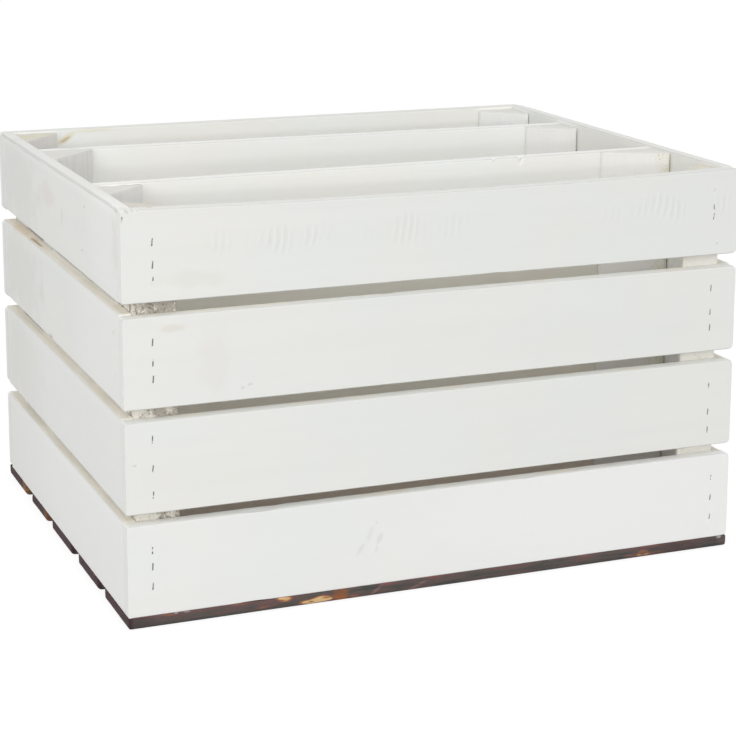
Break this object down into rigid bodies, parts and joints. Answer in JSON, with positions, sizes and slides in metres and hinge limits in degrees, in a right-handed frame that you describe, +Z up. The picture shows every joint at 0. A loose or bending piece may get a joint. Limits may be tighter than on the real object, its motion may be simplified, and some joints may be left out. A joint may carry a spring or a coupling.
{
  "type": "kindling box",
  "caption": "Slatted wooden crate with two fixed dividers and a charred board floor, open at the top, for standing kindling by a stove.",
  "frame": {"origin": "on the ground under the middle of the crate, at the bottom centre of its box", "axes": "+X along the length, to the right of someone who faces the front; the front faces -Y; +Z up"},
  "size_m": [0.5, 0.4, 0.311],
  "materials": {
    "white_paint": "matt white paint on sawn softwood, grain and saw marks showing through",
    "thin_paint": "thin matt white paint on rough sawn posts, wood showing in places",
    "charred_wood": "softwood charred with a flame and oiled, satin",
    "staple_wire": "galvanised wire, dull, partly under paint"
  },
  "bodies": {
    "root": {"back_board_1": "white_paint", "back_board_2": "white_paint", "back_board_3": "white_paint", "back_board_4": "white_paint", "back_divider_board_1": "white_paint", "back_divider_board_2": "white_paint", "back_divider_board_3": "white_paint", "back_divider_board_4": "white_paint", "back_divider_post_left": "thin_paint", "back_divider_post_right": "thin_paint", "back_staples": "staple_wire", "corner_post_back_left": "thin_paint", "corner_post_back_right": "thin_paint", "corner_post_front_left": "thin_paint", "corner_post_front_right": "thin_paint", "divider_staples": "staple_wire", "floor_board_1": "charred_wood", "floor_board_2": "charred_wood", "floor_board_3": "charred_wood", "floor_board_4": "charred_wood", "floor_board_5": "charred_wood", "floor_staples": "staple_wire", "front_board_1": "white_paint", "front_board_2": "white_paint", "front_board_3": "white_paint", "front_board_4": "white_paint", "front_divider_board_1": "white_paint", "front_divider_board_2": "white_paint", "front_divider_board_3": "white_paint", "front_divider_board_4": "white_paint", "front_divider_post_left": "thin_paint", "front_divider_post_right": "thin_paint", "front_staples": "staple_wire", "left_board_1": "white_paint", "left_board_2": "white_paint", "left_board_3": "white_paint", "left_board_4": "white_paint", "left_staples": "staple_wire", "right_board_1": "white_paint", "right_board_2": "white_paint", "right_board_3": "white_paint", "right_board_4": "white_paint", "right_staples": "staple_wire"}
  },
  "joints": []
}
